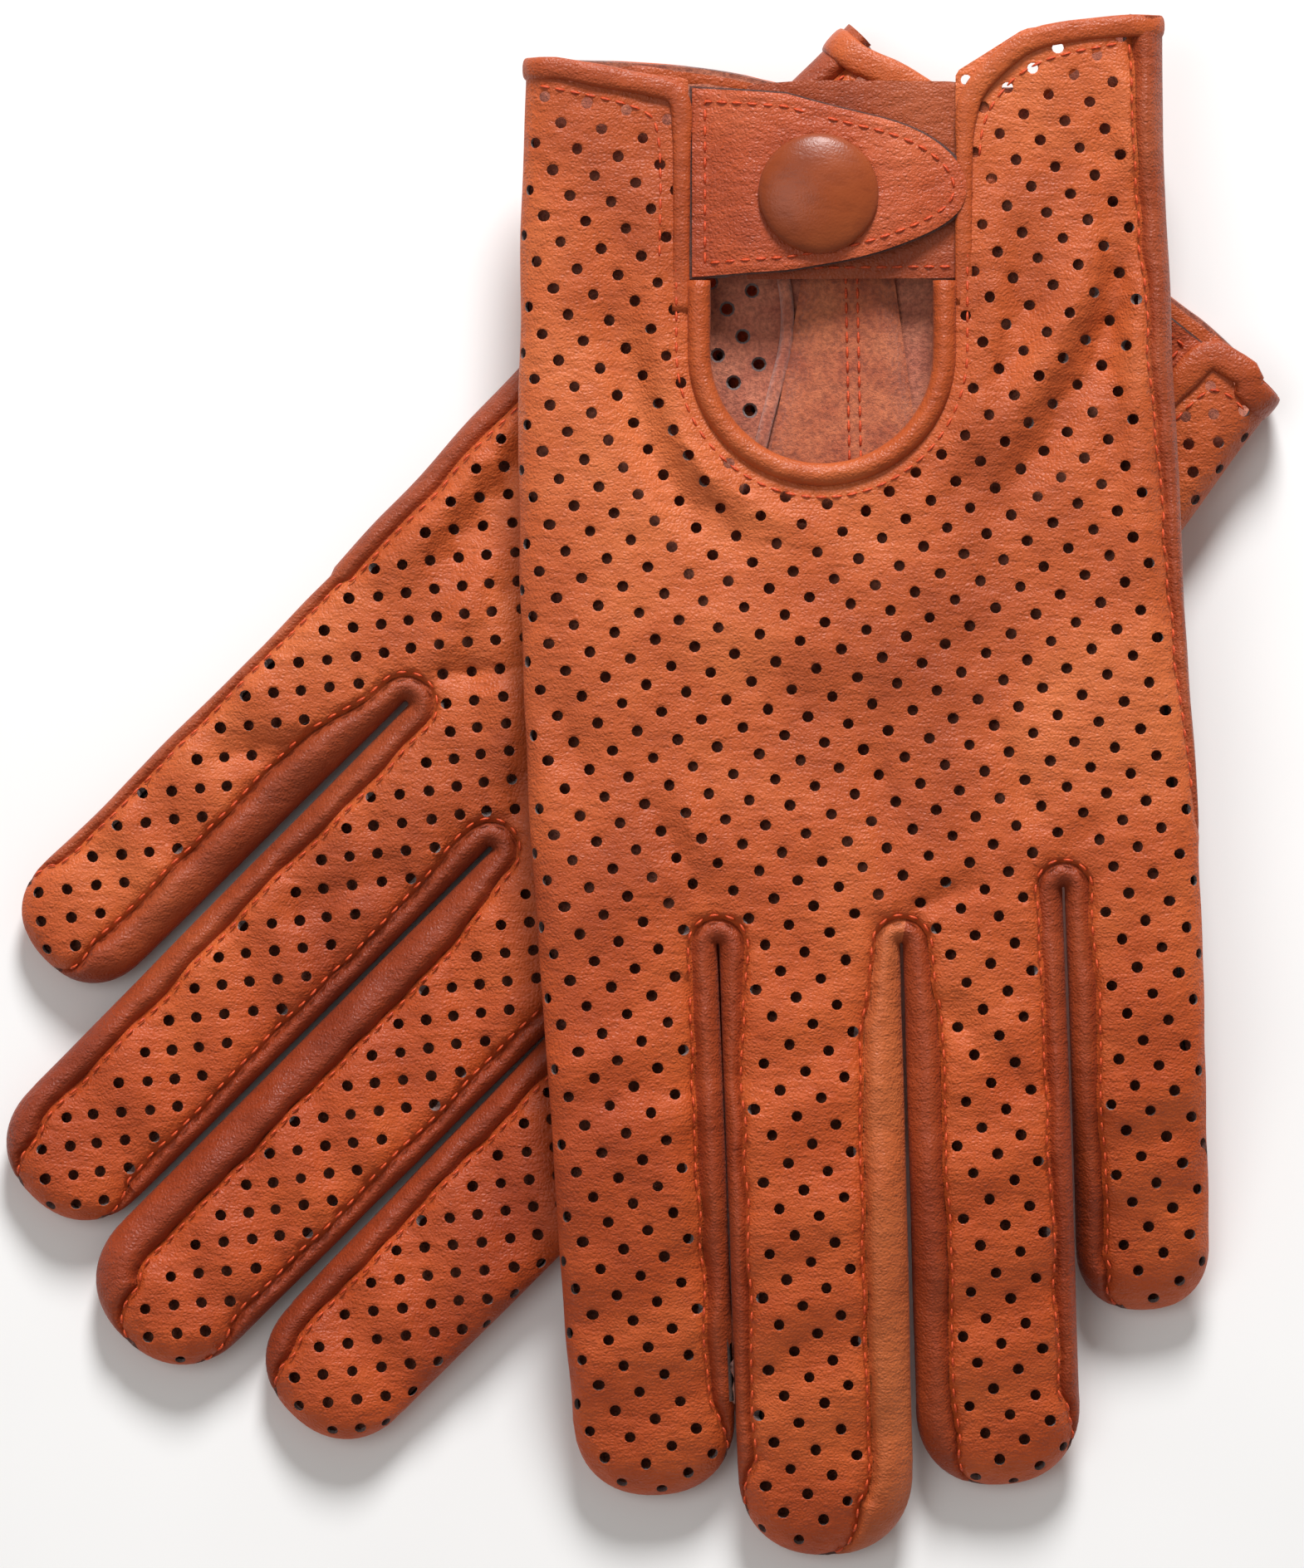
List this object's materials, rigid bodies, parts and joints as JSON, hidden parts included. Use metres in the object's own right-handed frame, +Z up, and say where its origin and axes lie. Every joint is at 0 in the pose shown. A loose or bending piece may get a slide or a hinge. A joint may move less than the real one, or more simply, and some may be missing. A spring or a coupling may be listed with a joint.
{
  "type": "leather driving gloves",
  "caption": "Pair of perforated leather driving gloves lying crossed, backs up, with a keyhole opening and a snap strap at each wrist; fingers, thumbs and straps fold open.",
  "frame": {"origin": "centre of the pair's footprint, on the surface the gloves lie on", "axes": "+Z up, out of the backs of the gloves; +Y from the upper (left) glove's fingertips to its cuff; +X from its index side to its little side"},
  "size_m": [0.1912, 0.231, 0.03],
  "materials": {
    "perforated_leather": "cognac sheepskin, punched, soft sheen",
    "plain_leather": "cognac sheepskin, smooth, soft sheen",
    "palm_leather": "cognac sheepskin, smooth outside, suede inside",
    "bound_leather": "rolled cognac sheepskin, satin",
    "strap_leather": "pebbled cognac leather, satin",
    "cap_leather": "stretched brown leather, semi-gloss",
    "suede": "napped suede, matte",
    "thread": "orange polyester thread, satin",
    "snap_metal": "antique brass, satin"
  },
  "bodies": {
    "left_hand": {"left_back_panel": "perforated_leather", "left_palm_panel": "palm_leather", "left_side_strip": "plain_leather", "left_keyhole_binding": "bound_leather", "left_tab": "strap_leather", "left_cuff_binding": "bound_leather", "left_fourchette_index_middle": "plain_leather", "left_fourchette_middle_ring": "plain_leather", "left_fourchette_ring_little": "plain_leather", "left_snap_stud": "snap_metal"},
    "left_index": {"left_index_tip_back": "perforated_leather", "left_index_tip_palm": "palm_leather", "left_index_tip_fourchettes": "plain_leather"},
    "left_middle": {"left_middle_tip_back": "perforated_leather", "left_middle_tip_palm": "palm_leather", "left_middle_tip_fourchettes": "plain_leather"},
    "left_ring": {"left_ring_tip_back": "perforated_leather", "left_ring_tip_palm": "palm_leather", "left_ring_tip_fourchettes": "plain_leather"},
    "left_little": {"left_little_tip_back": "perforated_leather", "left_little_tip_palm": "palm_leather", "left_little_tip_fourchettes": "plain_leather"},
    "left_thumb": {"left_thumb_back": "plain_leather", "left_thumb_palm": "plain_leather"},
    "left_strap": {"left_snap_socket": "snap_metal", "left_strap": "strap_leather", "left_snap_cap": "cap_leather"},
    "right_hand": {"right_back_panel": "perforated_leather", "right_palm_panel": "palm_leather", "right_side_strip": "plain_leather", "right_keyhole_binding": "bound_leather", "right_tab": "strap_leather", "right_cuff_binding": "bound_leather", "right_fourchette_index_middle": "plain_leather", "right_fourchette_middle_ring": "plain_leather", "right_fourchette_ring_little": "plain_leather", "right_snap_stud": "snap_metal"},
    "right_index": {"right_index_tip_back": "perforated_leather", "right_index_tip_palm": "palm_leather", "right_index_tip_fourchettes": "plain_leather"},
    "right_middle": {"right_middle_tip_back": "perforated_leather", "right_middle_tip_palm": "palm_leather", "right_middle_tip_fourchettes": "plain_leather"},
    "right_ring": {"right_ring_tip_back": "perforated_leather", "right_ring_tip_palm": "palm_leather", "right_ring_tip_fourchettes": "plain_leather"},
    "right_little": {"right_little_tip_back": "perforated_leather", "right_little_tip_palm": "palm_leather", "right_little_tip_fourchettes": "plain_leather"},
    "right_thumb": {"right_thumb_back": "plain_leather", "right_thumb_palm": "plain_leather"},
    "right_strap": {"right_snap_socket": "snap_metal", "right_strap": "strap_leather", "right_snap_cap": "cap_leather"}
  },
  "joints": [
    {"name": "left_glove_lift", "type": "slide", "parent": "right_hand", "child": "left_hand", "axis": [0, 0, 1], "range_m": [0, 0.12]},
    {"name": "left_index_fold", "type": "hinge", "parent": "left_hand", "child": "left_index", "pos_m": [-0.00096, -0.06059, 0.02144], "axis": [-0.9985, -0.0541, 0], "range_deg": [0, 75]},
    {"name": "left_middle_fold", "type": "hinge", "parent": "left_hand", "child": "left_middle", "pos_m": [0.02537, -0.06562, 0.02109], "axis": [-0.9995, -0.0313, 0], "range_deg": [0, 75]},
    {"name": "left_ring_fold", "type": "hinge", "parent": "left_hand", "child": "left_ring", "pos_m": [0.0514, -0.05859, 0.021], "axis": [-0.9993, -0.0374, 0], "range_deg": [0, 75]},
    {"name": "left_little_fold", "type": "hinge", "parent": "left_hand", "child": "left_little", "pos_m": [0.07322, -0.04196, 0.02106], "axis": [-0.9993, -0.0384, 0], "range_deg": [0, 75]},
    {"name": "left_thumb_swing", "type": "hinge", "parent": "left_hand", "child": "left_thumb", "pos_m": [-0.00407, 0.04225, 0.015], "axis": [0, 0, -1], "range_deg": [0, 45]},
    {"name": "left_strap_open", "type": "hinge", "parent": "left_hand", "child": "left_strap", "pos_m": [0.00711, 0.0894, 0.02388], "axis": [0, -1, 0], "range_deg": [0, 120]},
    {"name": "right_index_fold", "type": "hinge", "parent": "right_hand", "child": "right_index", "pos_m": [-0.02416, -0.06456, 0.00927], "axis": [-0.7153, 0.6988, 0], "range_deg": [0, 75]},
    {"name": "right_middle_fold", "type": "hinge", "parent": "right_hand", "child": "right_middle", "pos_m": [-0.04361, -0.04788, 0.00941], "axis": [-0.7078, 0.7064, 0], "range_deg": [0, 75]},
    {"name": "right_ring_fold", "type": "hinge", "parent": "right_hand", "child": "right_ring", "pos_m": [-0.05795, -0.02708, 0.00945], "axis": [-0.7092, 0.705, 0], "range_deg": [0, 75]},
    {"name": "right_little_fold", "type": "hinge", "parent": "right_hand", "child": "right_little", "pos_m": [-0.06432, -0.0005, 0.00943], "axis": [-0.7051, 0.7091, 0], "range_deg": [0, 75]},
    {"name": "right_thumb_swing", "type": "hinge", "parent": "right_hand", "child": "right_thumb", "pos_m": [0.05012, 0.01312, 0.0018], "axis": [0, 0, 1], "range_deg": [0, 45]},
    {"name": "right_strap_open", "type": "hinge", "parent": "right_hand", "child": "right_strap", "pos_m": [0.07311, 0.05579, 0.01068], "axis": [0.6652, 0.7466, 0], "range_deg": [0, 120]}
  ],
  "couplings": [
    {"joint": "right_strap_open", "follows": "left_glove_lift", "rad_per_m": 17.4}
  ]
}
